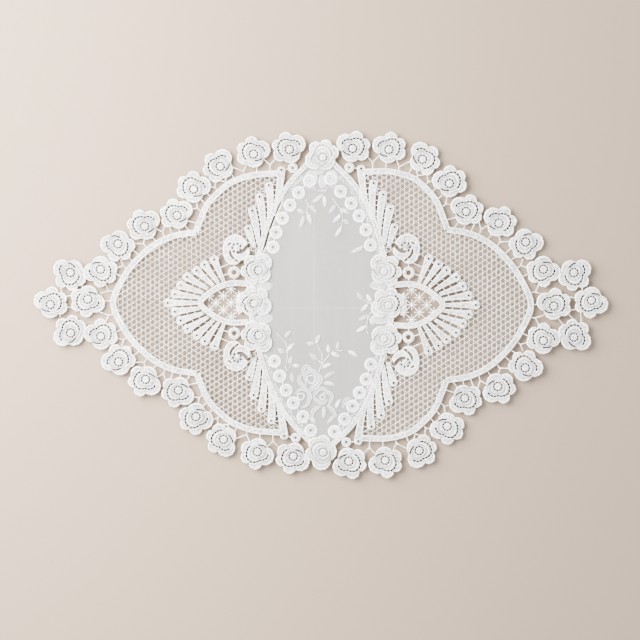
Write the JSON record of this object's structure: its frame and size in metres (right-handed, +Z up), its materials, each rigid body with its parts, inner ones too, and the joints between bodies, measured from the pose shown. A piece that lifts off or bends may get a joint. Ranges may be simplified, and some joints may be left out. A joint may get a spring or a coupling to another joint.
{
  "type": "lace doily",
  "caption": "Flat pointed-oval lace doily: sheer organza centre between two guipure lace wings edged with lace roses, with applied roses over its points.",
  "frame": {"origin": "middle of the doily's footprint, on the surface it lies on", "axes": "+X runs along the long axis to the right point, +Y to the back edge, +Z up off the table"},
  "size_m": [0.45, 0.2724, 0.0035],
  "materials": {
    "lace": "white polyester guipure thread, satin stitched, soft sheen",
    "organza": "sheer white organza with white satin-stitch embroidery"
  },
  "bodies": {
    "root": {"organza_panel": "organza", "lace_wing_right": "lace", "lace_wing_left": "lace", "tip_rosette_top": "lace", "tip_rosette_bottom": "lace"}
  },
  "joints": []
}
